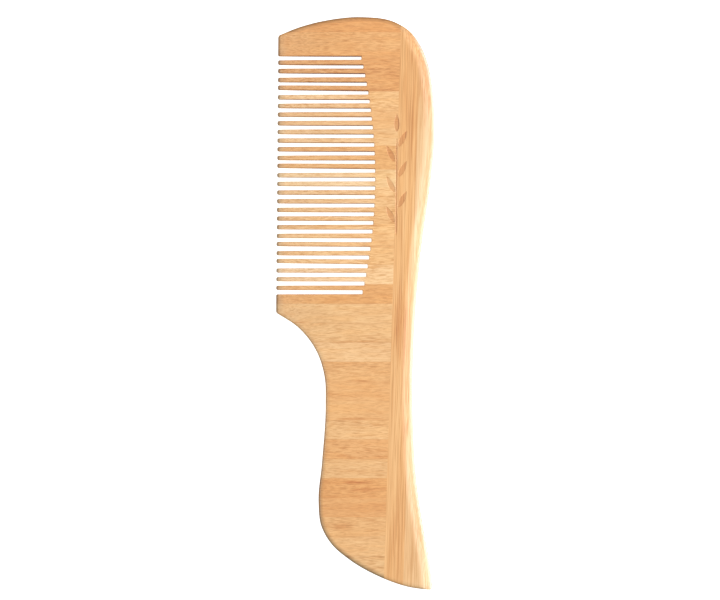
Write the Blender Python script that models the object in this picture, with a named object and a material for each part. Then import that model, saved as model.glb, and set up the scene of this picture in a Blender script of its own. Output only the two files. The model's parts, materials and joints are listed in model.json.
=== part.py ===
"""A bamboo comb with a handle, as its separate strips of bamboo.

The comb is cut from a blank of solid bamboo strips glued edge to edge. Short staves lie across the
comb, so that the grain runs along the teeth, and long strips run down the spine. The blank is sawn
to the outline, slotted for the teeth, thinned towards their tips and rounded over.

The comb lies flat. The head points to +Y, the teeth to -X and the faces to +Z and -Z. The origin is
the centre of the comb's box in X and Y, on the surface that it lies on. Lengths below are in
millimetres and angles in degrees, and MM turns them into Blender's metres.
"""

import math

import bmesh
import bpy
from mathutils import Vector
from mathutils.geometry import interpolate_bezier

MM = 0.001

# The whole comb
LENGTH = 198.0
THICKNESS = 9.5
EDGE_ROUND = 0.8
SPINE_ROUND = 4.2
STEP_ALONG_OUTLINE = 3.5

# The outline, as hand-placed points on its two smooth stretches and the three corners between them
SPINE_AND_CROWN = [(26.6, -97.8), (25.5, -88.5), (23.5, -77.5), (21.2, -62.0), (19.85, -37.0),
                   (20.4, -9.0), (23.2, 22.0), (26.2, 43.5), (27.5, 58.5), (26.6, 75.0),
                   (24.8, 84.0), (22.6, 89.2), (19.3, 93.6), (13.5, 97.3), (2.5, 99.0),
                   (-8.6, 98.1), (-19.7, 95.4), (-26.75, 92.6)]
HANDLE_AND_BUTT = [(-27.5, -3.2), (-19.5, -8.6), (-13.3, -16.9), (-10.65, -25.5), (-10.3, -35.0),
                   (-11.55, -55.0), (-12.75, -69.0), (-11.8, -77.0), (-8.3, -83.2), (-2.4, -88.4),
                   (8.0, -94.4), (18.0, -98.0), (26.9, -99.3)]
SPINE_SPANS = 11
SPINE_FORM_CLEARANCE = 0.02
CORNER_RADIUS = 1.1
CORNER_STEPS = 4

# The line that the tips stand on, as X at Y = 0 and millimetres of X per millimetre of Y
TIP_LINE_X = -27.5
TIP_LINE_SLOPE = 0.008

# The thinning of the blade: full thickness at TAPER_LENGTH from the tips, and a rounded nose
TAPER_LENGTH = 24.0
TAPER_STEPS = 4
TIP_THICKNESS = 4.6
NOSE_LENGTH = 2.0
NOSE_DEPTHS = (0.1, 0.4, 1.0)
NOSE_START = 0.12

# The slots between the teeth
SLOT_COUNT = 28
SLOT_PITCH = 3.0
FIRST_SLOT_Y = 84.85
SLOT_WIDTH_AT_ROOT = 1.38
SLOT_WIDTH_AT_TIP = 1.45
TIP_FLARES = ((0.9, 0.0), (0.3, 0.17), (-0.25, 0.6))
ROOT_ARC_RADIUS = 182.0
ROOT_ARC_APEX = (6.85, 43.5)

# The strips of the blank
STRIP_WIDTH = 6.706
GLUE_GAP = 0.3
FIRST_JOINT_Y = 93.77
TOOTHED_STAVES = 13
HANDLE_STAVES = 12
JOINT_REACH_IN_SLOT = 0.4
SPINE_JOINT_X = 12.8
SPINE_TILT = -1.763

# The blank and the cutters stand out past the comb by this much
OVERSIZE = 8.0

# Tolerances of the mesh steps: two in metres, and the upright part of a flat face's normal
WELD_DISTANCE = 0.00001
BISECT_TOLERANCE = 0.000001
FLAT_NORMAL = 0.999

TONES = {
    "pale": (0.92, 0.61, 0.32),
    "light": (0.88, 0.53, 0.25),
    "honey": (0.82, 0.46, 0.19),
    "caramel": (0.75, 0.38, 0.14),
}
STAVE_TONES = [
    "honey", "light", "honey", "honey", "light", "light", "light", "caramel", "light", "light",
    "honey", "honey", "honey", "pale", "caramel", "light", "light", "pale", "honey", "honey",
    "honey", "light", "honey", "light", "caramel", "honey", "honey", "light", "light",
]
SPINE_STRIPS = [("spine_strip_inner", "honey"), ("spine_strip_outer", "pale"),
                ("spine_strip_butt", "pale")]
BAMBOO_ROUGHNESS = 0.45


def clear_scene():
    for old in list(bpy.data.objects):
        bpy.data.objects.remove(old, do_unlink=True)


def new_collection(name):
    collection = bpy.data.collections.new(name)
    bpy.context.scene.collection.children.link(collection)
    return collection


def bamboo_material(name, tone):
    material = bpy.data.materials.new(name)
    material.use_nodes = True
    shader = material.node_tree.nodes["Principled BSDF"]
    shader.inputs["Base Color"].default_value = (*TONES[tone], 1.0)
    shader.inputs["Roughness"].default_value = BAMBOO_ROUGHNESS
    shader.inputs["Metallic"].default_value = 0.0
    material.diffuse_color = (*TONES[tone], 1.0)
    return material


def smooth_spans(points):
    """A smooth curve through hand-placed points: one list of points for each span between two."""
    knots = [Vector(point) for point in points]
    chords = [after - before for before, after in zip(knots, knots[1:])]
    lengths = [chord.length for chord in chords]
    directions = [chord.normalized() for chord in chords]
    tangents = [directions[0]]
    for i in range(1, len(chords)):
        blend = directions[i - 1] * lengths[i] + directions[i] * lengths[i - 1]
        tangents.append(blend.normalized())
    tangents.append(directions[-1])
    spans = []
    for i, length in enumerate(lengths):
        handle_out = knots[i] + tangents[i] * length / 3.0
        handle_in = knots[i + 1] - tangents[i + 1] * length / 3.0
        steps = max(2, round(length / STEP_ALONG_OUTLINE))
        span = interpolate_bezier(knots[i], handle_out, handle_in, knots[i + 1], steps + 1)
        spans.append([point.to_2d() for point in span[:-1]])
    return spans


def joined(spans):
    return [point for span in spans for point in span]


def rounded_corner(before, corner, after):
    """The corner between two stretches, as an arc that touches both."""
    to_before = (before - corner).normalized()
    to_after = (after - corner).normalized()
    half_angle = to_before.angle(to_after) / 2.0
    reach = CORNER_RADIUS / math.tan(half_angle)
    centre = corner + (to_before + to_after).normalized() * CORNER_RADIUS / math.sin(half_angle)
    start = (corner + to_before * reach - centre).normalized()
    end = (corner + to_after * reach - centre).normalized()
    shares = [step / CORNER_STEPS for step in range(CORNER_STEPS + 1)]
    return [centre + start.slerp(end, share) * CORNER_RADIUS for share in shares]


def comb_outline():
    """The whole outline, anticlockwise from the spine's lower end."""
    spine_and_crown = joined(smooth_spans(SPINE_AND_CROWN))
    handle_and_butt = joined(smooth_spans(HANDLE_AND_BUTT))
    crown_corner = Vector(SPINE_AND_CROWN[-1])
    heel_corner = Vector(HANDLE_AND_BUTT[0])
    butt_corner = Vector(HANDLE_AND_BUTT[-1])
    outline = spine_and_crown
    outline += rounded_corner(spine_and_crown[-1], crown_corner, heel_corner)
    outline += rounded_corner(crown_corner, heel_corner, handle_and_butt[1])
    outline += handle_and_butt[1:]
    outline += rounded_corner(handle_and_butt[-1], butt_corner, spine_and_crown[0])
    return outline


def spine_form_outline():
    """The spine's edge, run straight on past both ends, closed well clear of the rest of the comb."""
    outwards = Vector((SPINE_FORM_CLEARANCE, 0.0))
    edge = [point + outwards for point in joined(smooth_spans(SPINE_AND_CROWN)[:SPINE_SPANS])]
    below = edge[0] + (edge[0] - edge[1]).normalized() * 2.0 * OVERSIZE
    above = edge[-1] + (edge[-1] - edge[-2]).normalized() * 3.0 * OVERSIZE
    far_left = TIP_LINE_X - 2.0 * OVERSIZE
    return [below, *edge, above, Vector((far_left, above.y)), Vector((far_left, below.y))]


def slot_outline(y):
    """One slot, from its square root past the tips, with a flared mouth that rounds the tips."""
    tip_x = TIP_LINE_X + TIP_LINE_SLOPE * y
    drop = y - ROOT_ARC_APEX[1]
    arc_sag = ROOT_ARC_RADIUS - math.sqrt(ROOT_ARC_RADIUS ** 2 - drop ** 2)
    side = [(ROOT_ARC_APEX[0] - arc_sag, SLOT_WIDTH_AT_ROOT / 2.0)]
    for depth, flare in TIP_FLARES:
        side.append((tip_x + depth, SLOT_WIDTH_AT_TIP / 2.0 + flare))
    side.append((tip_x - OVERSIZE, side[-1][1]))
    upper = [Vector((x, y + half)) for x, half in side]
    lower = [Vector((x, y - half)) for x, half in reversed(side)]
    return upper + lower


def flat_form(name, outlines, half_height, edge_round, collection):
    """A closed mesh with the given flat outlines, centred on the comb's middle plane."""
    curve = bpy.data.curves.new(name, "CURVE")
    curve.dimensions = "2D"
    curve.fill_mode = "BOTH"
    curve.extrude = (half_height - edge_round) * MM
    curve.bevel_depth = edge_round * MM
    curve.bevel_resolution = 1
    curve.offset = -edge_round * MM
    for outline in outlines:
        spline = curve.splines.new("POLY")
        spline.points.add(len(outline) - 1)
        for point, corner in zip(spline.points, outline):
            point.co = (corner.x * MM, corner.y * MM, 0.0, 1.0)
        spline.use_cyclic_u = True
    drawn = bpy.data.objects.new(name + "_outline", curve)
    drawn.location.z = THICKNESS / 2.0 * MM
    collection.objects.link(drawn)
    bpy.context.view_layer.update()
    evaluated = drawn.evaluated_get(bpy.context.evaluated_depsgraph_get())
    mesh = bpy.data.meshes.new_from_object(evaluated)
    body = bmesh.new()
    body.from_mesh(mesh)
    bmesh.ops.remove_doubles(body, verts=body.verts, dist=WELD_DISTANCE)
    bmesh.ops.recalc_face_normals(body, faces=body.faces)
    caps = [face for face in body.faces if abs(face.normal.z) > FLAT_NORMAL]
    bmesh.ops.dissolve_faces(body, faces=caps)
    body.to_mesh(mesh)
    body.free()
    form = bpy.data.objects.new(name, mesh)
    form.matrix_world = drawn.matrix_world.copy()
    collection.objects.link(form)
    bpy.data.objects.remove(drawn, do_unlink=True)
    hide_tool(form)
    return form


def hide_tool(tool):
    tool.hide_render = True
    tool.display_type = "WIRE"


def taper_depths():
    """Distances from the tips at which the blade's slope changes."""
    step = (TAPER_LENGTH - NOSE_LENGTH) / TAPER_STEPS
    return [*NOSE_DEPTHS, *(NOSE_LENGTH + step * i for i in range(TAPER_STEPS + 1))]


def thickness_share(depth):
    """The blade's thickness at this distance from the tips, as a share of the full thickness."""
    rest = 1.0 - min(depth, TAPER_LENGTH) / TAPER_LENGTH
    share = 1.0 - (1.0 - TIP_THICKNESS / THICKNESS) * rest ** 2
    if depth >= NOSE_LENGTH:
        return share
    nose = NOSE_START + (1.0 - NOSE_START) * depth / NOSE_LENGTH
    return share * math.sqrt(1.0 - (1.0 - nose) ** 2)


def thin_blade(form):
    """Thins the form towards the tips, flat between one change of slope and the next."""
    depths = taper_depths()
    shares = [thickness_share(depth) for depth in depths]
    body = bmesh.new()
    body.from_mesh(form.data)
    for depth in depths:
        bmesh.ops.bisect_plane(
            body,
            geom=[*body.verts, *body.edges, *body.faces],
            dist=BISECT_TOLERANCE,
            plane_co=((TIP_LINE_X + depth) * MM, 0.0, 0.0),
            plane_no=(1.0, -TIP_LINE_SLOPE, 0.0),
        )
    for vert in body.verts:
        depth = vert.co.x / MM - TIP_LINE_X - TIP_LINE_SLOPE * vert.co.y / MM
        share = shares[0] if depth <= depths[0] else 1.0
        for i in range(len(depths) - 1):
            if depths[i] < depth <= depths[i + 1]:
                part = (depth - depths[i]) / (depths[i + 1] - depths[i])
                share = shares[i] + (shares[i + 1] - shares[i]) * part
        vert.co.z *= share
    body.to_mesh(form.data)
    body.free()


def boolean(target, operation, tool):
    modifier = target.modifiers.new(tool.name, "BOOLEAN")
    modifier.operation = operation
    modifier.solver = "EXACT"
    modifier.object = tool


def slot_centres():
    return [FIRST_SLOT_Y - SLOT_PITCH * i for i in range(SLOT_COUNT)]


def stave_joints():
    """The Y of each glue joint between staves. A joint among the teeth runs out into a slot."""
    centres = slot_centres()
    joints = []
    for i in range(len(STAVE_TONES) - 1):
        joint = FIRST_JOINT_Y - STRIP_WIDTH * i
        if centres[-1] - SLOT_PITCH / 2.0 < joint < centres[0] + SLOT_PITCH / 2.0:
            nearest = min(centres, key=lambda centre: abs(centre - joint))
            joint = min(max(joint, nearest - JOINT_REACH_IN_SLOT), nearest + JOINT_REACH_IN_SLOT)
        joints.append(joint)
    return joints


def stave_names():
    """Names of the staves, from the crown to the butt."""
    toothed = [f"toothed_stave_{i + 1:02d}" for i in range(TOOTHED_STAVES)]
    handle = [f"handle_stave_{i + 1:02d}" for i in range(HANDLE_STAVES)]
    return ["crown_stave", "guard_stave", *toothed, "heel_stave", *handle, "butt_stave"]


def bamboo_strip(name, size, centre, angle, collection):
    """A plain rectangular strip of bamboo, thicker than the comb."""
    bpy.ops.mesh.primitive_cube_add(size=1.0, location=Vector(centre) * MM)
    strip = bpy.context.active_object
    strip.name = name
    strip.data.name = name
    for vert in strip.data.vertices:
        vert.co = Vector((vert.co.x * size[0], vert.co.y * size[1], vert.co.z * size[2])) * MM
    strip.rotation_euler.z = math.radians(angle)
    for holder in list(strip.users_collection):
        holder.objects.unlink(strip)
    collection.objects.link(strip)
    return strip


def finish_strip(strip, tone, holder):
    strip.data.materials.append(bamboo_material(strip.name, tone))
    strip.parent = holder


def build_comb_form(tools):
    """The finished comb as one shape, which every strip is cut to."""
    half = THICKNESS / 2.0
    form = flat_form("comb_form", [comb_outline()], half, EDGE_ROUND, tools)
    thin_blade(form)
    spine_form = flat_form("spine_form", [spine_form_outline()], half, SPINE_ROUND, tools)
    slot_outlines = [slot_outline(y) for y in slot_centres()]
    slots = flat_form("slots", slot_outlines, half + OVERSIZE, 0.0, tools)
    boolean(form, "INTERSECT", spine_form)
    boolean(form, "DIFFERENCE", slots)
    return form


def build_spine_side(tools):
    """A cutter over the spine's strips and half the glue gap beside them."""
    width = len(SPINE_STRIPS) * STRIP_WIDTH + OVERSIZE
    centre_x = SPINE_JOINT_X + (width - GLUE_GAP) / 2.0 / math.cos(math.radians(SPINE_TILT))
    size = (width, LENGTH + 4.0 * OVERSIZE, THICKNESS + 2.0 * OVERSIZE)
    spine_side = bamboo_strip("spine_side", size, (centre_x, 0.0, THICKNESS / 2.0), SPINE_TILT, tools)
    hide_tool(spine_side)
    return spine_side


def build_staves(form, parts, tools, holder):
    """The staves that lie across the comb, each stopped short of the spine by the glue gap."""
    mid = THICKNESS / 2.0
    height = THICKNESS + OVERSIZE
    top = LENGTH / 2.0 + OVERSIZE
    edges = [top, *stave_joints(), -top]
    left = TIP_LINE_X - OVERSIZE
    right = SPINE_JOINT_X + OVERSIZE
    spine_side = build_spine_side(tools)
    for name, tone, upper, lower in zip(stave_names(), STAVE_TONES, edges, edges[1:]):
        size = (right - left, upper - lower - GLUE_GAP, height)
        centre = ((left + right) / 2.0, (upper + lower) / 2.0, mid)
        stave = bamboo_strip(name, size, centre, 0.0, parts)
        boolean(stave, "INTERSECT", form)
        boolean(stave, "DIFFERENCE", spine_side)
        finish_strip(stave, tone, holder)


def build_spine_strips(form, parts, holder):
    """The long strips down the spine, side by side from the staves' ends outwards."""
    mid = THICKNESS / 2.0
    tilt = math.radians(SPINE_TILT)
    length = LENGTH + 2.0 * OVERSIZE
    for i, (name, tone) in enumerate(SPINE_STRIPS):
        across = STRIP_WIDTH * (i + 0.5) / math.cos(tilt)
        size = (STRIP_WIDTH - GLUE_GAP, length, THICKNESS + OVERSIZE)
        strip = bamboo_strip(name, size, (SPINE_JOINT_X + across, 0.0, mid), SPINE_TILT, parts)
        boolean(strip, "INTERSECT", form)
        finish_strip(strip, tone, holder)


def main():
    clear_scene()
    parts = new_collection("bamboo_comb")
    tools = new_collection("shaping_tools")
    holder = bpy.data.objects.new("comb_frame", None)
    parts.objects.link(holder)
    form = build_comb_form(tools)
    build_staves(form, parts, tools, holder)
    build_spine_strips(form, parts, holder)


main()
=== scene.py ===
"""The looks of the bamboo comb: each strip's finished surface and bamboo, the light and the camera.

The fine comb is one plan, triangulated once and shared out to the strips, so that neighbouring strips
meet exactly at their glue joints. A height over the plan gives both faces: the blade's taper, the
rounded nose of the tips, the small round-over of the rim and the large one of the spine. Lengths are
in millimetres up to the floor, light and camera, and MM turns them into Blender's metres.
"""

import json
import math
import random

import bpy
import numpy as np
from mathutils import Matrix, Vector
from mathutils.geometry import delaunay_2d_cdt, interpolate_bezier


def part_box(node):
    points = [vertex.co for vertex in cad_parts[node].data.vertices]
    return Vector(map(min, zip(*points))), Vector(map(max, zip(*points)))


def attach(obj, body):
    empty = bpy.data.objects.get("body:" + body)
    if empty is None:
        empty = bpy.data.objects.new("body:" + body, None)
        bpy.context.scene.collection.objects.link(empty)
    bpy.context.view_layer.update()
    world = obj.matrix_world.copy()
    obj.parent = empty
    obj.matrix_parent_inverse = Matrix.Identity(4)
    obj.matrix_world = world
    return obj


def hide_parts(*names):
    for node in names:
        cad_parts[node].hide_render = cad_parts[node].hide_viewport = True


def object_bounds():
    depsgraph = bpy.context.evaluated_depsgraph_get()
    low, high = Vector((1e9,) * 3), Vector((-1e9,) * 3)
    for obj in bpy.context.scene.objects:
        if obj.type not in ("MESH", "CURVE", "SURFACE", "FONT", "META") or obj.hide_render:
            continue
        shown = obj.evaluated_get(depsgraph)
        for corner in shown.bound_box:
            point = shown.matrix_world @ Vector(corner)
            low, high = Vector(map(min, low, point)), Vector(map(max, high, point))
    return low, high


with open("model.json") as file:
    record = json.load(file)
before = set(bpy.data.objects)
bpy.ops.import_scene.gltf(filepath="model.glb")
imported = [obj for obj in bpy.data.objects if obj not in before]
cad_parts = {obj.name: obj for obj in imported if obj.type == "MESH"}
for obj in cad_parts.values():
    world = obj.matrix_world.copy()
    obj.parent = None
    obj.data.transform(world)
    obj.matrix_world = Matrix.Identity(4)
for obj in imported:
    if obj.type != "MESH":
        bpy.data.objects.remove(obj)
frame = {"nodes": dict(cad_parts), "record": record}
cad_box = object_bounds()

MM = 0.001

# The comb's shape, as the CAD model has it
THICKNESS = (cad_box[1][2] - cad_box[0][2]) / MM
EDGE_ROUND = 0.8
SPINE_ROUND = 4.2
SPINE_AND_CROWN = [(26.6, -97.8), (25.5, -88.5), (23.5, -77.5), (21.2, -62.0), (19.85, -37.0),
                   (20.4, -9.0), (23.2, 22.0), (26.2, 43.5), (27.5, 58.5), (26.6, 75.0),
                   (24.8, 84.0), (22.6, 89.2), (19.3, 93.6), (13.5, 97.3), (2.5, 99.0),
                   (-8.6, 98.1), (-19.7, 95.4), (-26.75, 92.6)]
HANDLE_AND_BUTT = [(-27.5, -3.2), (-19.5, -8.6), (-13.3, -16.9), (-10.65, -25.5), (-10.3, -35.0),
                   (-11.55, -55.0), (-12.75, -69.0), (-11.8, -77.0), (-8.3, -83.2), (-2.4, -88.4),
                   (8.0, -94.4), (18.0, -98.0), (26.9, -99.3)]
SPINE_SPANS = 11
CORNER_RADIUS = 1.1
TIP_LINE_X = -27.5
TIP_LINE_SLOPE = 0.008
TAPER_LENGTH = 24.0
TIP_THICKNESS = 4.6
NOSE_LENGTH = 0.9
SLOT_COUNT = 28
SLOT_PITCH = 3.0
FIRST_SLOT_Y = 84.85
SLOT_WIDTH_AT_ROOT = 1.38
SLOT_WIDTH_AT_TIP = 1.45
ROOT_ARC_RADIUS = 182.0
ROOT_ARC_APEX = (6.85, 43.5)
STRIP_WIDTH = 6.706
SPINE_JOINT_X = 12.8
SPINE_TILT = math.radians(1.763)

# Finish that only the fine surface has
NOSE_START = 0.015
LEAST_HALF_THICKNESS = 0.02
SLOT_ROUND = 0.24
ROOT_FILLET = 0.3
TIP_PLAN_RADIUS = 0.6
GUARD_CORNER_RADIUS = 0.45
TOOTH_LEANS = {2: 0.1, 4: 0.32, 13: 0.28, 22: 0.18, 24: 0.33}

# How far the darkening of the edges reaches in, and how strong it is where the rim's is 1: darker end
# grain with painted shade on the rim and the tips, painted shade alone along the slots
RIM_GRAIN_AND_SHADE_REACH = 1.7
TIP_GRAIN_AND_SHADE = 1.35
TIP_GRAIN_AND_SHADE_REACH = 3.0
SLOT_PAINTED_SHADE = 0.27

# Where the teeth's paler wood begins: over this length from the roots, inside the row's two ends
TOOTH_FADE = 3.0
TOOTH_ROW_INSET = 0.7

# The engraved sprig: a stem with alternate leaves and one leaf at its top
ENGRAVING_DEPTH = 0.14
ENGRAVING_SLOPE = 0.1
ENGRAVING_LIP = 0.05
STEM_FOOT = (14.1, 23.5)
STEM_HEAD = (14.3, 58.5)
STEM_WIDTH = 0.62
STEM_TAPER = 0.8
STEM_STEP = 1.5
LEAF_LENGTH = 6.6
LEAF_WIDTH = 1.9
LEAF_ANGLE = math.radians(27.0)
LEAF_STARTS = (0.12, 0.27, 0.42, 0.57, 0.72, 0.87)
LEAF_STALK = 0.55
LEAF_STEPS = 14
LEAF_BROAD_PLACE = 0.85
LEAF_BLUNTNESS = 0.9

# Spacing of the fine mesh
OUTLINE_STEP = 0.9
SLOT_STEP = 1.3
SPINE_RINGS = 11
RIM_RINGS = 6
SLOT_RINGS = 3
NOSE_LINES = 8
TAPER_LINES = 11
ARC_STEPS = 6
RUN_OUT = 12.0
LINE_OVERHANG = 1.0
FLAT_PAST_SPINE_ROUND = 0.4
FLAT_PAST_RIM_ROUND = 0.15
FLAT_PAST_SLOT_ROUND = 0.12
CROWDED = 0.04
SAME_POINT = 0.0005


def smooth_spans(points, step):
    """A smooth curve through given points: one list of points for each span between two."""
    knots = [Vector(point) for point in points]
    chords = [after - before for before, after in zip(knots, knots[1:])]
    lengths = [chord.length for chord in chords]
    directions = [chord.normalized() for chord in chords]
    tangents = [directions[0]]
    for i in range(1, len(chords)):
        blend = directions[i - 1] * lengths[i] + directions[i] * lengths[i - 1]
        tangents.append(blend.normalized())
    tangents.append(directions[-1])
    spans = []
    for i, length in enumerate(lengths):
        handle_out = knots[i] + tangents[i] * length / 3.0
        handle_in = knots[i + 1] - tangents[i + 1] * length / 3.0
        steps = max(2, round(length / step))
        span = interpolate_bezier(knots[i], handle_out, handle_in, knots[i + 1], steps + 1)
        spans.append([point.to_2d() for point in span[:-1]])
    return spans


def joined(spans):
    return [point for span in spans for point in span]


def rounded_corner(before, corner, after, radius, steps=ARC_STEPS):
    """The corner between two stretches, as an arc that touches both."""
    to_before = (before - corner).normalized()
    to_after = (after - corner).normalized()
    half_angle = to_before.angle(to_after) / 2.0
    reach = radius / math.tan(half_angle)
    centre = corner + (to_before + to_after).normalized() * radius / math.sin(half_angle)
    start = (corner + to_before * reach - centre).normalized()
    end = (corner + to_after * reach - centre).normalized()
    return [centre + start.slerp(end, step / steps) * radius for step in range(steps + 1)]


def straight_run(start, end, step):
    """Points from start to end, without the last one."""
    steps = max(1, round((end - start).length / step))
    return [start.lerp(end, i / steps) for i in range(steps)]


def tip_x(y):
    return TIP_LINE_X + TIP_LINE_SLOPE * y


def root_x(y):
    drop = y - ROOT_ARC_APEX[1]
    return ROOT_ARC_APEX[0] - (ROOT_ARC_RADIUS - math.sqrt(ROOT_ARC_RADIUS ** 2 - drop ** 2))


def slot_y(slot):
    return FIRST_SLOT_Y - SLOT_PITCH * slot


def slot_side(slot, side):
    """The straight side of a slot from its tip end to its root. side is 1 above the slot, -1 below.

    A tooth that leans takes the slot sides on both its flanks with it.
    """
    y = slot_y(slot)
    tooth = slot if side > 0 else slot + 1
    lean = TOOTH_LEANS.get(tooth, 0.0)
    at_tip = Vector((tip_x(y), y + side * SLOT_WIDTH_AT_TIP / 2.0 + lean))
    at_root = Vector((root_x(y), y + side * SLOT_WIDTH_AT_ROOT / 2.0))
    return at_tip, at_root


def slot_stretch(slot):
    """One slot from the tooth above it to the tooth below: upper side, root and lower side."""
    upper_tip, upper_root = slot_side(slot, 1)
    lower_tip, lower_root = slot_side(slot, -1)
    upper_inset = upper_tip + (upper_root - upper_tip).normalized() * TIP_PLAN_RADIUS
    lower_inset = lower_tip + (lower_root - lower_tip).normalized() * TIP_PLAN_RADIUS
    stretch = straight_run(upper_inset, upper_root, SLOT_STEP)
    stretch += rounded_corner(upper_tip, upper_root, lower_root, ROOT_FILLET)
    stretch += rounded_corner(upper_root, lower_root, lower_tip, ROOT_FILLET)
    back = straight_run(lower_inset, lower_root, SLOT_STEP)
    stretch += reversed(back)
    return drop_backtracks(stretch)


def drop_backtracks(points):
    """The points without those that crowd one of the last few before them, at the ends of a fillet."""
    kept = []
    for point in points:
        crowded = any((point - other).length < CROWDED for other in kept[-4:])
        if not crowded:
            kept.append(point)
    return kept


def tooth_tip(slot):
    """The rounded end of the tooth below a slot, as seen from above."""
    upper_tip, upper_root = slot_side(slot, -1)
    lower_tip, lower_root = slot_side(slot + 1, 1)
    tip = rounded_corner(upper_root, upper_tip, lower_tip, TIP_PLAN_RADIUS)
    tip += rounded_corner(upper_tip, lower_tip, lower_root, TIP_PLAN_RADIUS)
    return tip


def plan_stretches():
    """The comb's outline with its teeth, anticlockwise, as (kind, points) stretches in order."""
    spans = smooth_spans(SPINE_AND_CROWN, OUTLINE_STEP)
    handle = joined(smooth_spans(HANDLE_AND_BUTT, OUTLINE_STEP))
    spine = joined(spans[:SPINE_SPANS])
    crown = joined(spans[SPINE_SPANS:])
    crown_corner = Vector(SPINE_AND_CROWN[-1])
    heel_corner = Vector(HANDLE_AND_BUTT[0])
    butt_corner = Vector(HANDLE_AND_BUTT[-1])
    first_tip, first_root = slot_side(0, 1)
    last_tip, last_root = slot_side(SLOT_COUNT - 1, -1)

    crown += rounded_corner(crown[-1], crown_corner, heel_corner, CORNER_RADIUS)
    upper_guard = straight_run(crown[-1], first_tip + Vector((0.0, GUARD_CORNER_RADIUS)), OUTLINE_STEP)
    upper_guard += rounded_corner(crown_corner, first_tip, first_root, GUARD_CORNER_RADIUS)
    teeth = []
    for slot in range(SLOT_COUNT):
        teeth += slot_stretch(slot)
        if slot < SLOT_COUNT - 1:
            teeth += tooth_tip(slot)
    heel_arc = rounded_corner(last_tip, heel_corner, handle[1], CORNER_RADIUS)
    lower_guard = rounded_corner(last_root, last_tip, heel_corner, GUARD_CORNER_RADIUS)
    lower_guard += straight_run(lower_guard[-1], heel_arc[0], OUTLINE_STEP)
    butt_arc = rounded_corner(handle[-1], butt_corner, spine[0], CORNER_RADIUS)
    return [
        ("spine", spine),
        ("rim", crown),
        ("guard", upper_guard),
        ("teeth", teeth),
        ("guard", lower_guard),
        ("rim", heel_arc + handle[1:] + butt_arc),
    ]


def spine_line():
    """The spine's edge, run straight on past both ends."""
    edge = joined(smooth_spans(SPINE_AND_CROWN, OUTLINE_STEP)[:SPINE_SPANS])
    below = edge[0] + (edge[0] - edge[1]).normalized() * RUN_OUT
    above = edge[-1] + (edge[-1] - edge[-2]).normalized() * RUN_OUT
    return [below, *edge, above]


def round_over_depths(radius, rings, beyond=0.0):
    """How far in from the edge the rings of a round-over lie, evenly spaced in angle.

    One more ring lies beyond it, if asked for, where the surface is flat again and so is its shading.
    """
    depths = [radius * (1.0 - math.cos(math.pi / 2.0 * i / rings)) for i in range(1, rings + 1)]
    if beyond:
        depths.append(radius + beyond)
    return depths


def offset_line(points, depth):
    """The line moved to its left by depth: into the comb, for an anticlockwise outline."""
    moved = []
    for i, point in enumerate(points):
        before = points[max(i - 1, 0)]
        after = points[min(i + 1, len(points) - 1)]
        along = (after - before).normalized()
        moved.append(point + Vector((-along.y, along.x)) * depth)
    return moved


def leaf(base, tip, width, steps=LEAF_STEPS):
    """A leaf as a closed outline, anticlockwise, broadest a little below its middle."""
    along = tip - base
    across = Vector((-along.y, along.x)).normalized() * width / 2.0
    right = []
    left = []
    for i in range(steps + 1):
        share = i / steps
        breadth = math.sin(math.pi * share ** LEAF_BROAD_PLACE) ** LEAF_BLUNTNESS
        if 0 < i < steps:
            right.append(base + along * share - across * breadth)
            left.append(base + along * share + across * breadth)
    return [base, *right, tip, *reversed(left)]


def sprig():
    """The closed outlines of the engraved sprig: its stem, and then its leaves."""
    foot = Vector(STEM_FOOT)
    head = Vector(STEM_HEAD)
    upward = (head - foot).normalized()
    side = Vector((upward.y, -upward.x)) * STEM_WIDTH / 2.0
    right = straight_run(foot + side, head + side * STEM_TAPER, STEM_STEP)
    left = straight_run(foot - side, head - side * STEM_TAPER, STEM_STEP)
    shapes = [right + list(reversed(left))]
    for i, share in enumerate(LEAF_STARTS):
        hand = 1.0 if i % 2 else -1.0
        turn = hand * LEAF_ANGLE
        direction = Vector((math.sin(turn) + upward.x * math.cos(turn), math.cos(turn)))
        base = foot.lerp(head, share) + Vector((hand * LEAF_STALK, 0.0))
        shapes.append(leaf(base, base + direction.normalized() * LEAF_LENGTH, LEAF_WIDTH))
    top_leaf_base = head + upward * LEAF_STALK
    top_leaf_tip = head + upward * (LEAF_LENGTH + LEAF_STALK)
    shapes.append(leaf(top_leaf_base, top_leaf_tip, LEAF_WIDTH))
    return shapes


def engraving_depth(points):
    """How deep the upper face is cut at each point, from 0 to 1."""
    depth = np.zeros(len(points))
    for shape in sprig():
        outline = as_array(shape)
        closed = np.vstack([outline, outline[:1]])
        low = outline.min(axis=0) - ENGRAVING_SLOPE
        high = outline.max(axis=0) + ENGRAVING_SLOPE
        near = np.all((points > low) & (points < high), axis=1)
        chosen = points[near]
        inner = distance_to_line(chosen, closed) / ENGRAVING_SLOPE
        inner = np.where(inside_outline(chosen, outline), np.clip(inner, 0.0, 1.0), 0.0)
        depth[near] = np.maximum(depth[near], inner)
    return depth


class Plan:
    """The points and edges that the plan's triangulation has to keep."""

    def __init__(self):
        self.points = []
        self.edges = []

    def add_line(self, points, closed=False):
        start = len(self.points)
        self.points += [Vector((point[0], point[1])) for point in points]
        count = len(points)
        self.edges += [(start + i, start + i + 1) for i in range(count - 1)]
        if closed:
            self.edges.append((start + count - 1, start))


def distance_to_line(points, line):
    """The distance from each point to a line of straight stretches. Both are arrays of X and Y."""
    best = np.full(len(points), np.inf)
    for start, end in zip(line[:-1], line[1:]):
        along = end - start
        length_squared = max(float(along @ along), 1e-12)
        share = np.clip((points - start) @ along / length_squared, 0.0, 1.0)
        nearest = start + share[:, None] * along
        best = np.minimum(best, np.hypot(*(points - nearest).T))
    return best


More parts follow.
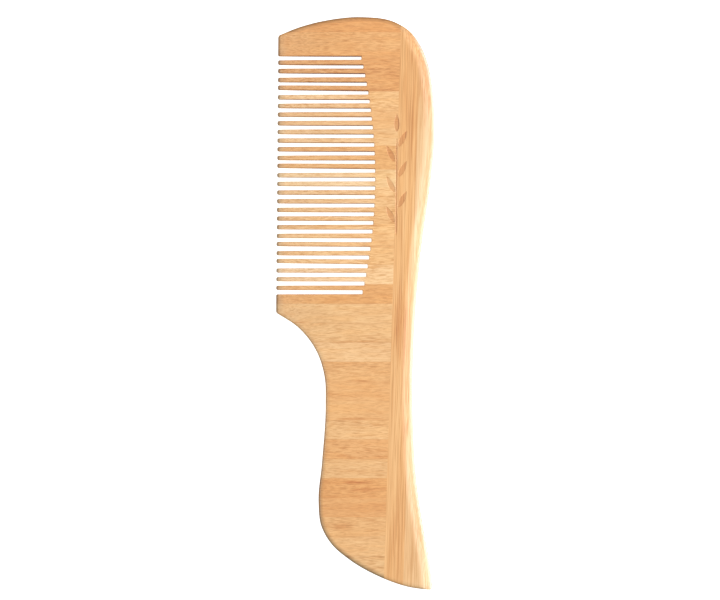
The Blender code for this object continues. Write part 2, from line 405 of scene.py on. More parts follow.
def inside_outline(points, outline):
    """True for each point inside the closed outline, by counting the edges to its right."""
    inside = np.zeros(len(points), bool)
    x, y = points.T
    for (x0, y0), (x1, y1) in zip(outline, np.roll(outline, -1, axis=0)):
        if y0 == y1:
            continue
        crosses = (y0 > y) != (y1 > y)
        at_x = x0 + (y - y0) * (x1 - x0) / (y1 - y0)
        inside ^= crosses & (x < at_x)
    return inside


def as_array(points):
    return np.array([(point[0], point[1]) for point in points], float)


def round_over(depth, radius):
    """How much lower a rounded edge is at this distance in from it."""
    rest = radius - np.minimum(depth, radius)
    return radius - np.sqrt(np.maximum(radius ** 2 - rest ** 2, 0.0))


class Surface:
    """Half the thickness at a point of the plan, how dark its edge is painted for end grain and
    painted shade, and how much it is a tooth.
    """

    def __init__(self, stretches):
        rim = []
        teeth = []
        for kind, points in stretches:
            if kind == "rim":
                rim.append(as_array(points))
            if kind == "teeth":
                teeth.append(as_array(points))
        self.rim = rim
        self.teeth = teeth
        self.spine = as_array(spine_line())

    def measure(self, points):
        from_tips = points[:, 0] - TIP_LINE_X - TIP_LINE_SLOPE * points[:, 1]
        rest = np.clip(1.0 - from_tips / TAPER_LENGTH, 0.0, 1.0)
        share = 1.0 - (1.0 - TIP_THICKNESS / THICKNESS) * rest ** 2
        nose = NOSE_START + (1.0 - NOSE_START) * np.clip(from_tips / NOSE_LENGTH, 0.0, 1.0)
        nose = np.sqrt(1.0 - (1.0 - nose) ** 2)
        to_rim = np.min([distance_to_line(points, line) for line in self.rim], axis=0)
        to_spine = distance_to_line(points, self.spine)
        to_teeth = np.min([distance_to_line(points, line) for line in self.teeth], axis=0)
        drop = np.maximum(round_over(to_rim, EDGE_ROUND), round_over(to_spine, SPINE_ROUND))
        half = share * nose * (THICKNESS / 2.0 - drop)
        half -= nose * round_over(to_teeth, SLOT_ROUND)
        # Edge darkening: the darker end grain of the rim and the tips together with painted shade, and
        # painted shade alone along the slots
        rim_grain_and_shade = np.clip(1.0 - to_rim / RIM_GRAIN_AND_SHADE_REACH, 0.0, 1.0)
        slot_painted_shade = SLOT_PAINTED_SHADE * np.clip(1.0 - to_teeth / SLOT_ROUND, 0.0, 1.0)
        tip_grain_and_shade = TIP_GRAIN_AND_SHADE * np.clip(1.0 - from_tips / TIP_GRAIN_AND_SHADE_REACH, 0.0, 1.0)
        from_row_middle = np.abs(points[:, 1] - slot_y((SLOT_COUNT - 1) / 2.0))
        among_teeth = from_row_middle < SLOT_PITCH * SLOT_COUNT / 2.0 - TOOTH_ROW_INSET
        to_root = np.array([root_x(y) for y in points[:, 1]]) - points[:, 0]
        tooth = np.where(among_teeth, np.clip(to_root / TOOTH_FADE, 0.0, 1.0), 0.0)
        return half, np.max([rim_grain_and_shade, slot_painted_shade, tip_grain_and_shade], axis=0), tooth


def stave_joint_heights():
    """The Y of each joint between staves, midway between the CAD's neighbouring nodes."""
    names = stave_names()
    joints = []
    for upper, lower in zip(names, names[1:]):
        joints.append((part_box(upper)[0][1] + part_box(lower)[1][1]) / 2.0 / MM)
    return joints


def stave_names():
    """The staves from the crown to the butt, in the order of their height in the CAD."""
    names = [name for name in frame["nodes"] if name.endswith("_stave") or "_stave_" in name]
    return sorted(names, key=lambda name: -(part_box(name)[0][1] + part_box(name)[1][1]))


SPINE_STRIPS = ["spine_strip_inner", "spine_strip_outer", "spine_strip_butt"]


def spine_joint_x(y, strip):
    """X of the joint on the inner side of a spine strip, 0 for the one beside the staves."""
    return SPINE_JOINT_X + strip * STRIP_WIDTH / math.cos(SPINE_TILT) + y * math.tan(SPINE_TILT)


def plan_lines(stretches, joints):
    """Everything that the triangulation keeps: outline, rings, lines of the taper, and joints."""
    plan = Plan()
    outline = joined([points for kind, points in stretches])
    plan.add_line(outline, closed=True)
    top = max(point.y for point in outline) + LINE_OVERHANG
    spine_depths = round_over_depths(SPINE_ROUND, SPINE_RINGS, FLAT_PAST_SPINE_ROUND)
    rim_depths = round_over_depths(EDGE_ROUND, RIM_RINGS, FLAT_PAST_RIM_ROUND) + [RIM_GRAIN_AND_SHADE_REACH]
    slot_depths = round_over_depths(SLOT_ROUND, SLOT_RINGS, FLAT_PAST_SLOT_ROUND)
    for depth in spine_depths:
        plan.add_line(offset_line(spine_line(), depth))
    for kind, points in stretches:
        if kind == "rim":
            for depth in rim_depths:
                plan.add_line(offset_line(points, depth))
        if kind == "teeth":
            for depth in slot_depths:
                plan.add_line(offset_line(points, depth))
    nose = round_over_depths(NOSE_LENGTH, NOSE_LINES)
    step = (TAPER_LENGTH - NOSE_LENGTH) / TAPER_LINES
    taper = [NOSE_LENGTH + step * (i + 1) for i in range(TAPER_LINES)]
    for depth in nose + taper:
        plan.add_line([(tip_x(-top) + depth, -top), (tip_x(top) + depth, top)])
    for y in joints:
        plan.add_line([(TIP_LINE_X - LINE_OVERHANG, y), (spine_joint_x(y, 0), y)])
    for strip in range(len(SPINE_STRIPS)):
        plan.add_line([(spine_joint_x(-top, strip), -top), (spine_joint_x(top, strip), top)])
    for shape in sprig():
        for depth in (-ENGRAVING_LIP, 0.0, ENGRAVING_SLOPE, ENGRAVING_SLOPE + ENGRAVING_LIP):
            plan.add_line(offset_line([*shape, shape[0]], depth)[:-1], closed=True)
    return plan, as_array(outline)


def strip_of(centres, joints):
    """The index of the strip that each point lies on: staves first, then the spine's strips."""
    stave_count = len(joints) + 1
    stave = np.sum(centres[:, 1:2] < np.array(joints)[None, :], axis=1)
    across = centres[:, 0] - spine_joint_x(centres[:, 1], 0)
    strip = np.floor(across / (STRIP_WIDTH / math.cos(SPINE_TILT))).astype(int)
    strip = np.minimum(strip, len(SPINE_STRIPS) - 1)
    return np.where(strip < 0, stave, stave_count + strip)


def open_edges(triangles):
    """Edges that only one triangle has, in that triangle's direction."""
    seen = {}
    for a, b, c in triangles:
        for edge in ((a, b), (b, c), (c, a)):
            if (edge[1], edge[0]) in seen:
                del seen[(edge[1], edge[0])]
            else:
                seen[edge] = True
    return list(seen)


def solid_faces(triangles, count):
    """Faces of a closed solid over plan triangles: points from count on are those of the underside."""
    faces = [tuple(triangle) for triangle in triangles]
    faces += [(c + count, b + count, a + count) for a, b, c in triangles]
    walls = [(b, a, a + count, b + count) for a, b in open_edges(triangles)]
    return faces, walls


def solid_points(points, half, cut):
    """The points of the upper face, cut where it is engraved, and then those of the lower face."""
    middle = THICKNESS / 2.0
    upper = np.column_stack([points, middle + half - cut * ENGRAVING_DEPTH])
    lower = np.column_stack([points, middle - half])
    return np.vstack([upper, lower]) * MM


def whole_normals(points, half, cut, triangles):
    """Normals and rim edges of the comb as one surface, so that shading runs on over the joints."""
    mesh = bpy.data.meshes.new("whole_comb")
    faces, walls = solid_faces(triangles, len(points))
    mesh.from_pydata(solid_points(points, half, cut), [], faces + walls)
    normals = np.zeros(len(mesh.vertices) * 3)
    mesh.vertices.foreach_get("normal", normals)
    rim_edges = set(open_edges(triangles))
    bpy.data.meshes.remove(mesh)
    return normals.reshape(-1, 3), rim_edges


def add_values(mesh, name, values):
    attribute = mesh.attributes.new(name, "FLOAT", "POINT")
    attribute.data.foreach_set("value", values)


def build_strip(name, points, half, cut, edge_grain_and_shade, tooth, triangles, normals, rim_edges):
    """One strip's finished solid, with a normal for each face corner and values for its material."""
    used = sorted({index for triangle in triangles for index in triangle})
    local = {index: i for i, index in enumerate(used)}
    count = len(used)
    own_triangles = [tuple(local[index] for index in triangle) for triangle in triangles]
    faces, walls = solid_faces(own_triangles, count)
    mesh = bpy.data.meshes.new(name)
    mesh.from_pydata(solid_points(points[used], half[used], cut[used]), [], faces + walls)
    mesh.update()
    whole_count = len(points)
    corner_normals = []
    for polygon in mesh.polygons:
        # Only walls have four corners. The ones on a glue joint are shaded flat, unlike the rim's
        in_joint = len(polygon.vertices) == 4
        if in_joint:
            b, a = polygon.vertices[0], polygon.vertices[1]
            in_joint = (used[a], used[b]) not in rim_edges
        for index in polygon.vertices:
            if in_joint:
                corner_normals.append(polygon.normal)
            elif index < count:
                corner_normals.append(normals[used[index]])
            else:
                corner_normals.append(normals[used[index - count] + whole_count])
    mesh.shade_smooth()
    mesh.normals_split_custom_set(corner_normals)
    # How dark the edges are painted: darker end grain together with painted shade
    add_values(mesh, "edge_grain_and_painted_shade", np.concatenate([edge_grain_and_shade[used], edge_grain_and_shade[used]]))
    add_values(mesh, "tooth", np.concatenate([tooth[used], tooth[used]]))
    add_values(mesh, "engraved", np.concatenate([cut[used], np.zeros(count)]))
    add_values(mesh, "upper", np.concatenate([np.ones(count), np.zeros(count)]))
    piece = bpy.data.objects.new(name, mesh)
    bpy.context.scene.collection.objects.link(piece)
    return piece


def build_comb():
    """All the strips' finished pieces, by CAD node."""
    stretches = plan_stretches()
    joints = stave_joint_heights()
    plan, outline = plan_lines(stretches, joints)
    result = delaunay_2d_cdt(plan.points, plan.edges, [], 0, SAME_POINT, False)
    points = as_array(result[0])
    triangles = np.array(result[2])
    centres = points[triangles].mean(axis=1)
    kept = inside_outline(centres, outline)
    triangles = triangles[kept]
    centres = centres[kept]
    corners = points[triangles]
    areas = np.cross(corners[:, 1] - corners[:, 0], corners[:, 2] - corners[:, 0])
    flipped = areas < 0.0
    triangles[flipped] = triangles[flipped][:, ::-1]
    used = np.unique(triangles)
    renumber = np.full(len(points), -1)
    renumber[used] = np.arange(len(used))
    points = points[used]
    triangles = renumber[triangles]
    half, edge_grain_and_shade, tooth = Surface(stretches).measure(points)
    half = np.maximum(half, LEAST_HALF_THICKNESS)
    as_lists = [tuple(int(index) for index in triangle) for triangle in triangles]
    cut = engraving_depth(points)
    normals, rim_edges = whole_normals(points, half, cut, as_lists)
    strips = strip_of(centres, joints)
    names = stave_names() + SPINE_STRIPS
    pieces = {}
    for i, name in enumerate(names):
        own = [as_lists[t] for t in np.flatnonzero(strips == i)]
        piece = build_strip(name + "_bamboo", points, half, cut, edge_grain_and_shade, tooth, own, normals, rim_edges)
        pieces[name] = piece
    return pieces


# The grain's blotches: how long they are along the grain, how wide and how deep
BLOTCHES = {
    "slow wave": (17.0, 9.0, 9.0),
    "quick wave": (5.0, 2.6, 2.6),
    "bundles": (4.0, 0.42, 0.42),
    "fibres": (2.8, 0.25, 0.25),
    "slow tone": (24.0, 3.4, 3.4),
    "warmth": (15.0, 1.9, 1.9),
    "glue breaks": (9.0, 50.0, 50.0),
    "sanding": (7.0, 0.11, 0.11),
    "mark edge": (6.0, 0.7, 0.7),
}

# What each part of the grain, and the edges' painted shade, does to the strip's own tone, where it is
# at its strongest
TINTS = {
    "slow tone": (0.93, 0.885, 0.83),
    "warmth": (1.0, 0.955, 0.87),
    "bundle": (0.81, 0.66, 0.46),
    "fibre": (0.80, 0.70, 0.56),
    "pith": (1.04, 1.08, 1.14),
    "mark": (0.86, 0.70, 0.50),
    "heart of mark": (0.92, 0.77, 0.56),
    "glue": (0.80, 0.66, 0.50),
    "tooth": (1.0, 1.06, 1.25),
    # the edges' darker end grain together with painted shade
    "end grain and painted shade": (0.42, 0.44, 0.40),
    "engraved": (0.82, 0.68, 0.56),
}

# How far the fibres sway from straight, and how much of the edges' darkening the walls get
SLOW_SWAY = 1.1
QUICK_SWAY = 0.5
WALL_GRAIN_AND_SHADE = 0.3

# How much the skin side of a strip, and a mark, add to the chance of a bundle
SKIN_BUNDLES = 0.045
MARK_BUNDLES = 0.16

GLUE_STRENGTH = 0.6
BUMP_STRENGTH = 0.42
BUMP_HEIGHT = 0.035


class Graph:
    """Short calls that add nodes to one tree."""

    def __init__(self, tree):
        self.tree = tree

    def node(self, kind, **settings):
        made = self.tree.nodes.new(kind)
        for name, value in settings.items():
            setattr(made, name, value)
        return made

    def feed(self, socket, value):
        if isinstance(value, bpy.types.NodeSocket):
            self.tree.links.new(value, socket)
        else:
            socket.default_value = value

    def maths(self, operation, a, b=0.0):
        made = self.node("ShaderNodeMath", operation=operation)
        self.feed(made.inputs[0], a)
        self.feed(made.inputs[1], b)
        return made.outputs[0]

    def vector(self, operation, a, b=(0.0, 0.0, 0.0)):
        made = self.node("ShaderNodeVectorMath", operation=operation)
        self.feed(made.inputs[0], a)
        self.feed(made.inputs[1], b)
        return made.outputs["Value" if operation == "LENGTH" else "Vector"]

    def noise(self, where, blotches, detail=2.0):
        """Noise from 0 to 1, with the blotches of this name in BLOTCHES."""
        made = self.node("ShaderNodeTexNoise")
        self.feed(made.inputs["Vector"], self.vector("DIVIDE", where, BLOTCHES[blotches]))
        made.inputs["Scale"].default_value = 1.0
        made.inputs["Detail"].default_value = detail
        made.inputs["Roughness"].default_value = 0.55
        return made.outputs["Fac"]

    def rise(self, value, low, high, to=1.0):
        """0 below low and to above high, with a smooth rise between them."""
        made = self.node("ShaderNodeMapRange", interpolation_type="SMOOTHSTEP")
        self.feed(made.inputs["Value"], value)
        made.inputs["From Min"].default_value = low
        made.inputs["From Max"].default_value = high
        self.feed(made.inputs["To Max"], to)
        return made.outputs["Result"]

    def tinted(self, colour, tint, share):
        """The colour multiplied by the tint of this name in TINTS, by this share."""
        made = self.node("ShaderNodeMix", data_type="RGBA", blend_type="MULTIPLY")
        self.feed(made.inputs["Factor"], share)
        self.feed(made.inputs["A"], colour)
        self.feed(made.inputs["B"], (*TINTS[tint], 1.0))
        return made.outputs["Result"]

    def attribute(self, name):
        """One of the values that build_strip gives to each point of a strip."""
        return self.node("ShaderNodeAttribute", attribute_name=name).outputs["Fac"]


def bamboo_group():
    """Pressed bamboo, seen along the grain, from a place in the strip in millimetres.

    X runs along the grain, Y across the strip's width and Z through its thickness.
    """
    tree = bpy.data.node_groups.new("pressed_bamboo", "ShaderNodeTree")
    graph = Graph(tree)
    sockets = tree.interface
    sockets.new_socket("Place", in_out="INPUT", socket_type="NodeSocketVector")
    sockets.new_socket("Tone", in_out="INPUT", socket_type="NodeSocketColor")
    sockets.new_socket("Offset", in_out="INPUT", socket_type="NodeSocketVector")
    sockets.new_socket("Run", in_out="INPUT", socket_type="NodeSocketVector")
    sockets.new_socket("Skin side", in_out="INPUT", socket_type="NodeSocketFloat")
    sockets.new_socket("Fibres", in_out="INPUT", socket_type="NodeSocketFloat")
    sockets.new_socket("Mark", in_out="INPUT", socket_type="NodeSocketFloat")
    sockets.new_socket("Edge grain and shade", in_out="INPUT", socket_type="NodeSocketFloat")
    sockets.new_socket("Color", in_out="OUTPUT", socket_type="NodeSocketColor")
    sockets.new_socket("Roughness", in_out="OUTPUT", socket_type="NodeSocketFloat")
    sockets.new_socket("Normal", in_out="OUTPUT", socket_type="NodeSocketVector")
    given = graph.node("NodeGroupInput").outputs
    result = graph.node("NodeGroupOutput").inputs

    # A place in the noises: moved for each strip, and bent so that the fibres run a little wavy
    where = graph.vector("ADD", graph.vector("DIVIDE", given["Place"], given["Run"]), given["Offset"])
    slow_wave = graph.maths("SUBTRACT", graph.noise(where, "slow wave", 1.0), 0.5)
    quick_wave = graph.maths("SUBTRACT", graph.noise(where, "quick wave", 1.0), 0.5)
    slow_sway = graph.maths("MULTIPLY", slow_wave, SLOW_SWAY)
    quick_sway = graph.maths("MULTIPLY", quick_wave, QUICK_SWAY)
    sway = graph.maths("ADD", slow_sway, quick_sway)
    shift = graph.node("ShaderNodeCombineXYZ")
    graph.feed(shift.inputs["Y"], sway)
    graph.feed(shift.inputs["Z"], sway)
    grain = graph.vector("ADD", where, shift.outputs["Vector"])

    # How near the place is to the skin side of the strip, where the bundles are densest
    split = graph.node("ShaderNodeSeparateXYZ")
    graph.feed(split.inputs[0], given["Place"])
    across = graph.maths("DIVIDE", split.outputs["Y"], STRIP_WIDTH / 2.0)
    skin = graph.maths("MULTIPLY", graph.maths("MULTIPLY", across, given["Skin side"]), SKIN_BUNDLES)

    # Bundles of fibres, dark and a few millimetres long, with finer fibres and pale pith between
    bundles = graph.maths("ADD", graph.noise(grain, "bundles"), skin)
    bundles = graph.maths("ADD", bundles, graph.maths("MULTIPLY", given["Mark"], MARK_BUNDLES))
    bundle = graph.rise(bundles, 0.5, 0.7)
    fibres = graph.noise(grain, "fibres")
    fibre = graph.maths("MULTIPLY", graph.rise(fibres, 0.46, 0.62), given["Fibres"])
    pith = graph.maths("MULTIPLY", graph.rise(fibres, 0.48, 0.34), given["Fibres"])
    slow_tone = graph.rise(graph.noise(grain, "slow tone", 1.0), 0.3, 0.7)
    warmth = graph.rise(graph.noise(grain, "warmth"), 0.4, 0.7)

    # The dark glue line at the strip's sides, broken here and there
    to_side = graph.maths("ABSOLUTE", split.outputs["Y"])
    to_side = graph.maths("SUBTRACT", STRIP_WIDTH / 2.0, to_side)
    unbroken = graph.rise(graph.noise(where, "glue breaks", 1.0), 0.35, 0.65)
    glue = graph.maths("MULTIPLY", graph.rise(to_side, 0.24, 0.04), unbroken)

    # Edges are painted darkest at the faces, and less dark halfway down the walls between them: darker
    # end grain and painted shade together
    edge_grain_and_shade = graph.attribute("edge_grain_and_painted_shade")
    engraved = graph.attribute("engraved")
    tooth = graph.attribute("tooth")
    from_middle = graph.maths("ABSOLUTE", graph.maths("SUBTRACT", graph.attribute("upper"), 0.5))
    off_wall = graph.rise(from_middle, 0.22, 0.5, 1.0 - WALL_GRAIN_AND_SHADE)
    off_wall = graph.maths("ADD", WALL_GRAIN_AND_SHADE, off_wall)
    grain_and_shade_share = graph.maths("MULTIPLY", edge_grain_and_shade, given["Edge grain and shade"])
    grain_and_shade_share = graph.maths("MULTIPLY", grain_and_shade_share, off_wall)

    colour = graph.tinted(given["Tone"], "slow tone", slow_tone)
    colour = graph.tinted(colour, "warmth", warmth)
    colour = graph.tinted(colour, "bundle", graph.maths("MULTIPLY", bundle, given["Fibres"]))
    colour = graph.tinted(colour, "fibre", fibre)
    colour = graph.tinted(colour, "pith", pith)
    colour = graph.tinted(colour, "mark", given["Mark"])
    colour = graph.tinted(colour, "heart of mark", graph.rise(given["Mark"], 0.7, 1.0))
    colour = graph.tinted(colour, "glue", graph.maths("MULTIPLY", glue, GLUE_STRENGTH))
    colour = graph.tinted(colour, "tooth", tooth)
    colour = graph.tinted(colour, "end grain and painted shade", grain_and_shade_share)
    colour = graph.tinted(colour, "engraved", engraved)
    graph.feed(result["Color"], colour)

    # Fibres and engraved wood are rougher than the pith, and the rims are handled smooth
    rough = graph.maths("ADD", 0.40, graph.maths("MULTIPLY", fibre, 0.07))
    rough = graph.maths("ADD", rough, graph.maths("MULTIPLY", bundle, 0.05))
    rough = graph.maths("ADD", rough, graph.maths("MULTIPLY", engraved, 0.2))
    rough = graph.maths("SUBTRACT", rough, graph.maths("MULTIPLY", edge_grain_and_shade, 0.06))
    graph.feed(result["Roughness"], rough)

    # Fibres stand a hair proud, sanding leaves fine lines, and the glue line is a shallow groove
    sanding = graph.noise(where, "sanding", 1.0)
    height = graph.maths("ADD", fibres, graph.maths("MULTIPLY", bundles, 0.8))
    height = graph.maths("ADD", height, graph.maths("MULTIPLY", sanding, 0.5))
    height = graph.maths("SUBTRACT", height, graph.maths("MULTIPLY", glue, 0.4))
    bump = graph.node("ShaderNodeBump")
    bump.inputs["Strength"].default_value = BUMP_STRENGTH
    bump.inputs["Distance"].default_value = BUMP_HEIGHT * MM
    graph.feed(bump.inputs["Height"], height)
    graph.feed(result["Normal"], bump.outputs["Normal"])
    return tree


# The four tones of bamboo, by the record's material slots
TONES = {
    "bamboo_pale": (0.92, 0.617, 0.309),
    "bamboo_light": (0.905, 0.557, 0.24),
    "bamboo_honey": (0.89, 0.501, 0.189),
    "bamboo_caramel": (0.87, 0.453, 0.147),
}

# Warmth takes away green, and this many times as much blue
BLUE_LOSS = 2.2

# How each strip differs from its tone: lightness and warmth
STRIP_LOOKS = {
    "crown_stave": (0.97, 0.14),
    "guard_stave": (0.985, 0.13),
    "toothed_stave_01": (0.98, 0.10),
    "toothed_stave_02": (0.95, 0.10),
    "toothed_stave_03": (1.07, 0.0),
    "toothed_stave_04": (1.01, 0.05),
    "toothed_stave_05": (1.03, 0.0),
    "toothed_stave_06": (1.02, -0.04),
    "toothed_stave_07": (1.09, -0.09),
    "toothed_stave_08": (1.04, 0.0),
    "toothed_stave_09": (1.03, -0.05),
    "toothed_stave_10": (1.06, -0.06),
    "toothed_stave_11": (1.08, -0.08),
    "toothed_stave_12": (1.07, 0.02),
    "handle_stave_02": (1.01, 0.06),
    "handle_stave_04": (0.99, 0.03),
    "handle_stave_06": (0.99, 0.03),
    "handle_stave_07": (0.98, 0.05),
    "handle_stave_08": (0.98, 0.03),
    "handle_stave_09": (0.965, 0.04),
    "handle_stave_10": (0.94, 0.09),
    "handle_stave_11": (0.99, -0.02),
    "handle_stave_12": (0.98, 0.03),
    "butt_stave": (0.94, 0.01),
    "spine_strip_inner": (1.02, -0.02),
    "spine_strip_outer": (0.99, 0.04),
    "spine_strip_butt": (1.03, -0.10),
}

# How dark each strip's edges are painted, for end grain and for painted shade that is stronger where
# the rim faces away from the lamps, where that isn't the usual
USUAL_EDGE_GRAIN_AND_SHADE = 0.4
EDGE_GRAIN_AND_SHADE = {
    "crown_stave": 0.85,
    "guard_stave": 0.2,
    "heel_stave": 0.3,
    "handle_stave_07": 0.5,
    "handle_stave_08": 0.65,
    "handle_stave_09": 0.85,
    "handle_stave_10": 1.0,
    "handle_stave_11": 1.1,
    "handle_stave_12": 1.1,
    "butt_stave": 1.15,
}

# Marks in the grain, such as nodes and dark fibres: the strip, the mark's place along and across it,
# half its length and half its width, and its strength
MARKS = [
    ("crown_stave", (-8.0, -2.6), (10.0, 0.6), 0.4),
    ("heel_stave", (-19.0, -3.1), (5.0, 0.4), 0.8),
    ("handle_stave_01", (0.0, -3.1), (14.0, 0.35), 0.6),
    ("handle_stave_03", (1.0, -3.1), (6.0, 0.5), 0.7),
    ("handle_stave_05", (0.0, -2.9), (12.0, 0.5), 0.7),
    ("handle_stave_09", (0.0, 1.9), (9.0, 0.9), 0.9),
    ("handle_stave_09", (3.5, -0.6), (7.5, 1.2), 0.6),
    ("handle_stave_11", (-4.5, 0.0), (5.0, 2.0), 0.6),
    ("spine_strip_inner", (-7.5, 0.8), (14.0, 3.6), 0.5),
    ("spine_strip_inner", (-3.0, 2.3), (17.0, 0.28), 0.9),
    ("spine_strip_inner", (-6.0, 1.6), (14.0, 0.32), 1.0),
    ("spine_strip_inner", (-4.0, 0.9), (19.0, 0.26), 1.0),
    ("spine_strip_inner", (-9.0, 0.2), (21.0, 0.3), 1.0),
    ("spine_strip_inner", (-2.0, -0.6), (17.0, 0.24), 0.9),
    ("spine_strip_inner", (-9.0, -1.4), (18.0, 0.3), 0.9),
    ("spine_strip_inner", (-78.0, 0.4), (26.0, 0.16), 1.0),
    ("spine_strip_inner", (-72.0, -0.9), (30.0, 0.16), 0.8),
    ("spine_strip_inner", (86.0, -0.6), (6.0, 0.3), 0.7),
    ("spine_strip_inner", (72.0, -0.8), (30.0, 4.0), 0.45),
    ("spine_strip_inner", (-80.0, -1.4), (36.0, 4.0), 0.32),
    ("spine_strip_outer", (75.0, 1.8), (8.0, 2.6), 0.7),
    ("spine_strip_outer", (75.0, 2.8), (9.0, 0.3), 1.0),
    ("spine_strip_outer", (76.0, 2.0), (10.0, 0.3), 1.0),
    ("spine_strip_outer", (74.0, 1.2), (9.0, 0.3), 1.0),
    ("spine_strip_outer", (82.0, 1.5), (30.0, 5.0), 0.7),
    ("spine_strip_outer", (-84.0, 1.4), (26.0, 4.0), 0.45),
]


# A mark goes all the way through its strip, and its edge is this ragged
MARK_DEPTH = 1000.0
MARK_RAGGEDNESS = 0.9

# The fibres of the lengthwise spine strips look this many times as long as those of a stave
SPINE_FIBRE_RUN = 7.0

# For what is drawn by lot for each strip: its offset, its skin side and how strong its fibres are
SEED = 11


def mark_group():
    """How much of a mark shows at a place, from 1 at its heart to 0 past its ragged edge."""
    tree = bpy.data.node_groups.new("grain_mark", "ShaderNodeTree")
    graph = Graph(tree)
    sockets = tree.interface
    sockets.new_socket("Place", in_out="INPUT", socket_type="NodeSocketVector")
    sockets.new_socket("Middle", in_out="INPUT", socket_type="NodeSocketVector")
    sockets.new_socket("Size", in_out="INPUT", socket_type="NodeSocketVector")
    sockets.new_socket("Mark", in_out="OUTPUT", socket_type="NodeSocketFloat")
    given = graph.node("NodeGroupInput").outputs
    result = graph.node("NodeGroupOutput").inputs
    away = graph.vector("SUBTRACT", given["Place"], given["Middle"])
    away = graph.vector("LENGTH", graph.vector("DIVIDE", away, given["Size"]))
    ragged = graph.maths("MULTIPLY", graph.noise(given["Place"], "mark edge"), MARK_RAGGEDNESS)
    graph.feed(result["Mark"], graph.rise(graph.maths("ADD", away, ragged), 1.5, 0.6))
    return tree


def strip_tone(node, slot):
    lightness, warmth = STRIP_LOOKS.get(node, (1.0, 0.0))
    red, green, blue = TONES[slot]
    green *= 1.0 - warmth
    blue *= 1.0 - BLUE_LOSS * warmth
    return (red * lightness, green * lightness, blue * lightness, 1.0)


def bamboo_material(node, tone, group, mark_tree, middle, turn, run, draw):
    """One strip's bamboo.

    middle is the strip's middle, turn brings its grain onto X, and run is how many times longer its
    fibres look than those of a stave.
    """
    material = bpy.data.materials.new(node + "_bamboo")
    material.use_nodes = True
    tree = material.node_tree
    graph = Graph(tree)
    shader = tree.nodes["Principled BSDF"]
    place = graph.node("ShaderNodeMapping")
    graph.feed(place.inputs["Vector"], graph.node("ShaderNodeTexCoord").outputs["Object"])
    place.inputs["Scale"].default_value = (1.0 / MM, 1.0 / MM, 1.0 / MM)
    place.inputs["Rotation"].default_value = (0.0, 0.0, turn)
    across = middle.x * math.sin(turn) + middle.y * math.cos(turn)
    place.inputs["Location"].default_value = (0.0, -across, -THICKNESS / 2.0)
    bamboo = graph.node("ShaderNodeGroup", node_tree=group)
    graph.feed(bamboo.inputs["Place"], place.outputs["Vector"])
    bamboo.inputs["Tone"].default_value = tone
    bamboo.inputs["Offset"].default_value = [draw.uniform(0, 900) for _ in range(3)]
    bamboo.inputs["Run"].default_value = (run, 1.0, 1.0)
    bamboo.inputs["Skin side"].default_value = draw.choice((-1.0, 1.0, 1.0))
    bamboo.inputs["Fibres"].default_value = draw.uniform(0.55, 0.95)
    marked = 0.0
    for strip, mark_middle, mark_size, strength in MARKS:
        if strip == node:
            mark = graph.node("ShaderNodeGroup", node_tree=mark_tree)
            graph.feed(mark.inputs["Place"], place.outputs["Vector"])
            mark.inputs["Middle"].default_value = (*mark_middle, 0.0)
            mark.inputs["Size"].default_value = (*mark_size, MARK_DEPTH)
            strong = graph.maths("MULTIPLY", mark.outputs["Mark"], strength)
            marked = graph.maths("MAXIMUM", strong, marked)
    graph.feed(bamboo.inputs["Mark"], marked)
    # How strongly this strip's edges are darkened: end grain and painted shade
    bamboo.inputs["Edge grain and shade"].default_value = EDGE_GRAIN_AND_SHADE.get(node, USUAL_EDGE_GRAIN_AND_SHADE)
    graph.feed(shader.inputs["Base Color"], bamboo.outputs["Color"])
    graph.feed(shader.inputs["Roughness"], bamboo.outputs["Roughness"])
    graph.feed(shader.inputs["Normal"], bamboo.outputs["Normal"])
    shader.inputs["Specular IOR Level"].default_value = 0.5
    shader.inputs["Coat Weight"].default_value = 1.0
    shader.inputs["Coat Roughness"].default_value = 0.45
    shader.inputs["Coat IOR"].default_value = 1.6
    return material


def strip_middle(node):
    low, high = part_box(node)
    return Vector(((low.x + high.x) / 2.0, (low.y + high.y) / 2.0)) / MM


def finish_pieces(pieces):
    """Gives every strip its bamboo, and ties it to the CAD node that it stands for."""
    slots = {item["node"]: item["material_slot"] for item in frame["record"]["subparts"]}
    group = bamboo_group()
    mark_tree = mark_group()
    draw = random.Random(SEED)
    for node, piece in pieces.items():
        if node in SPINE_STRIPS:
            strip = SPINE_STRIPS.index(node)
            half_width = STRIP_WIDTH / math.cos(SPINE_TILT) / 2.0
            middle = Vector((spine_joint_x(0.0, strip) + half_width, 0.0))
            turn = SPINE_TILT - math.pi / 2.0
            run = SPINE_FIBRE_RUN
        else:
            middle = strip_middle(node)
            turn = 0.0
            run = 1.0
        tone = strip_tone(node, slots[node])
        material = bamboo_material(node, tone, group, mark_tree, middle, turn, run, draw)
        piece.data.materials.append(material)
        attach(piece, "root")
        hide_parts(node)


# The studio, in metres and watts: a long lens straight above, a white floor and soft lamps
SENSOR_WIDTH = 36.0
LENS = 300.0
VIEW_WIDTH = 0.2489
VIEW_CENTRE = (0.00159, 0.00114)
CAMERA_CLIP_END = 10.0
FLOOR_SIZE = 6.0
FLOOR_DROP = 0.0002
FLOOR_GLOW = 0.93
SKY_STRENGTH = 0.39

# Each lamp's name, place, size, power and colour, and whether it also lights by gloss
LAMPS = [
    ("left", (-0.75, 0.0, 0.95), (0.6, 0.9), 3.4, (1.0, 1.0, 1.0), True),
    ("main", (0.70, 0.0, 0.85), (0.6, 0.9), 6.0, (1.0, 1.0, 1.0), True),
    ("side", (0.92, 0.22, 0.34), (0.6, 0.9), 6.4, (0.97, 0.92, 1.02), False),
    ("low", (0.82, 0.16, -0.53), (0.7, 0.6), 5.8, (0.97, 0.90, 1.04), True),
]


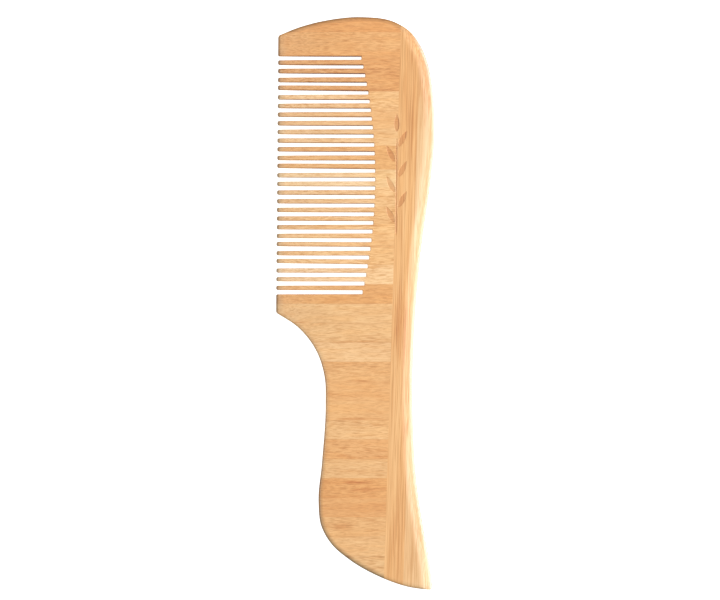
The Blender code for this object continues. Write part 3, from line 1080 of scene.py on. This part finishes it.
def area_light(name, location, size, power, colour, in_gloss):
    """A soft rectangular lamp that points at the middle of the comb."""
    light = bpy.data.lights.new(name, "AREA")
    light.shape = "RECTANGLE"
    light.size = size[0]
    light.size_y = size[1]
    light.energy = power
    light.color = colour
    lamp = bpy.data.objects.new(name, light)
    lamp.location = location
    lamp.rotation_euler = (-lamp.location).to_track_quat("-Z", "Y").to_euler()
    lamp.visible_glossy = in_gloss
    bpy.context.scene.collection.objects.link(lamp)


def build_camera():
    """The camera looks straight down, from where VIEW_WIDTH fills the width of the frame."""
    camera_data = bpy.data.cameras.new("camera")
    camera_data.sensor_width = SENSOR_WIDTH
    camera_data.lens = LENS
    camera_data.clip_end = CAMERA_CLIP_END
    camera = bpy.data.objects.new("camera", camera_data)
    distance = VIEW_WIDTH * LENS / SENSOR_WIDTH
    camera.location = (*VIEW_CENTRE, THICKNESS * MM + distance)
    bpy.context.scene.collection.objects.link(camera)
    bpy.context.scene.camera = camera


def floor_material():
    """Glowing white from above, and clear from below, so that the comb's underside can be seen."""
    material = bpy.data.materials.new("white_floor")
    material.use_nodes = True
    tree = material.node_tree
    graph = Graph(tree)
    shader = tree.nodes["Principled BSDF"]
    shader.inputs["Base Color"].default_value = (0.9, 0.9, 0.9, 1.0)
    shader.inputs["Roughness"].default_value = 0.9
    shader.inputs["Emission Color"].default_value = (1.0, 1.0, 1.0, 1.0)
    shader.inputs["Emission Strength"].default_value = FLOOR_GLOW
    one_sided = graph.node("ShaderNodeMixShader")
    graph.feed(one_sided.inputs[0], graph.node("ShaderNodeNewGeometry").outputs["Backfacing"])
    graph.feed(one_sided.inputs[1], shader.outputs[0])
    graph.feed(one_sided.inputs[2], graph.node("ShaderNodeBsdfTransparent").outputs[0])
    graph.feed(tree.nodes["Material Output"].inputs["Surface"], one_sided.outputs[0])
    return material


def build_floor():
    """The floor is only seen: it lights nothing and takes no light away."""
    bpy.ops.mesh.primitive_plane_add(size=FLOOR_SIZE, location=(0.0, 0.0, -FLOOR_DROP))
    floor = bpy.context.active_object
    floor.name = "floor"
    floor.data.materials.append(floor_material())
    floor.visible_diffuse = False
    floor.visible_glossy = False
    floor.visible_shadow = False


def build_light():
    world = bpy.data.worlds.new("studio")
    world.use_nodes = True
    background = world.node_tree.nodes["Background"]
    background.inputs["Color"].default_value = (1.0, 1.0, 1.0, 1.0)
    background.inputs["Strength"].default_value = SKY_STRENGTH
    bpy.context.scene.world = world
    for lamp in LAMPS:
        area_light(*lamp)


finish_pieces(build_comb())
build_camera()
build_floor()
build_light()
bpy.context.scene.view_settings.view_transform = "Standard"
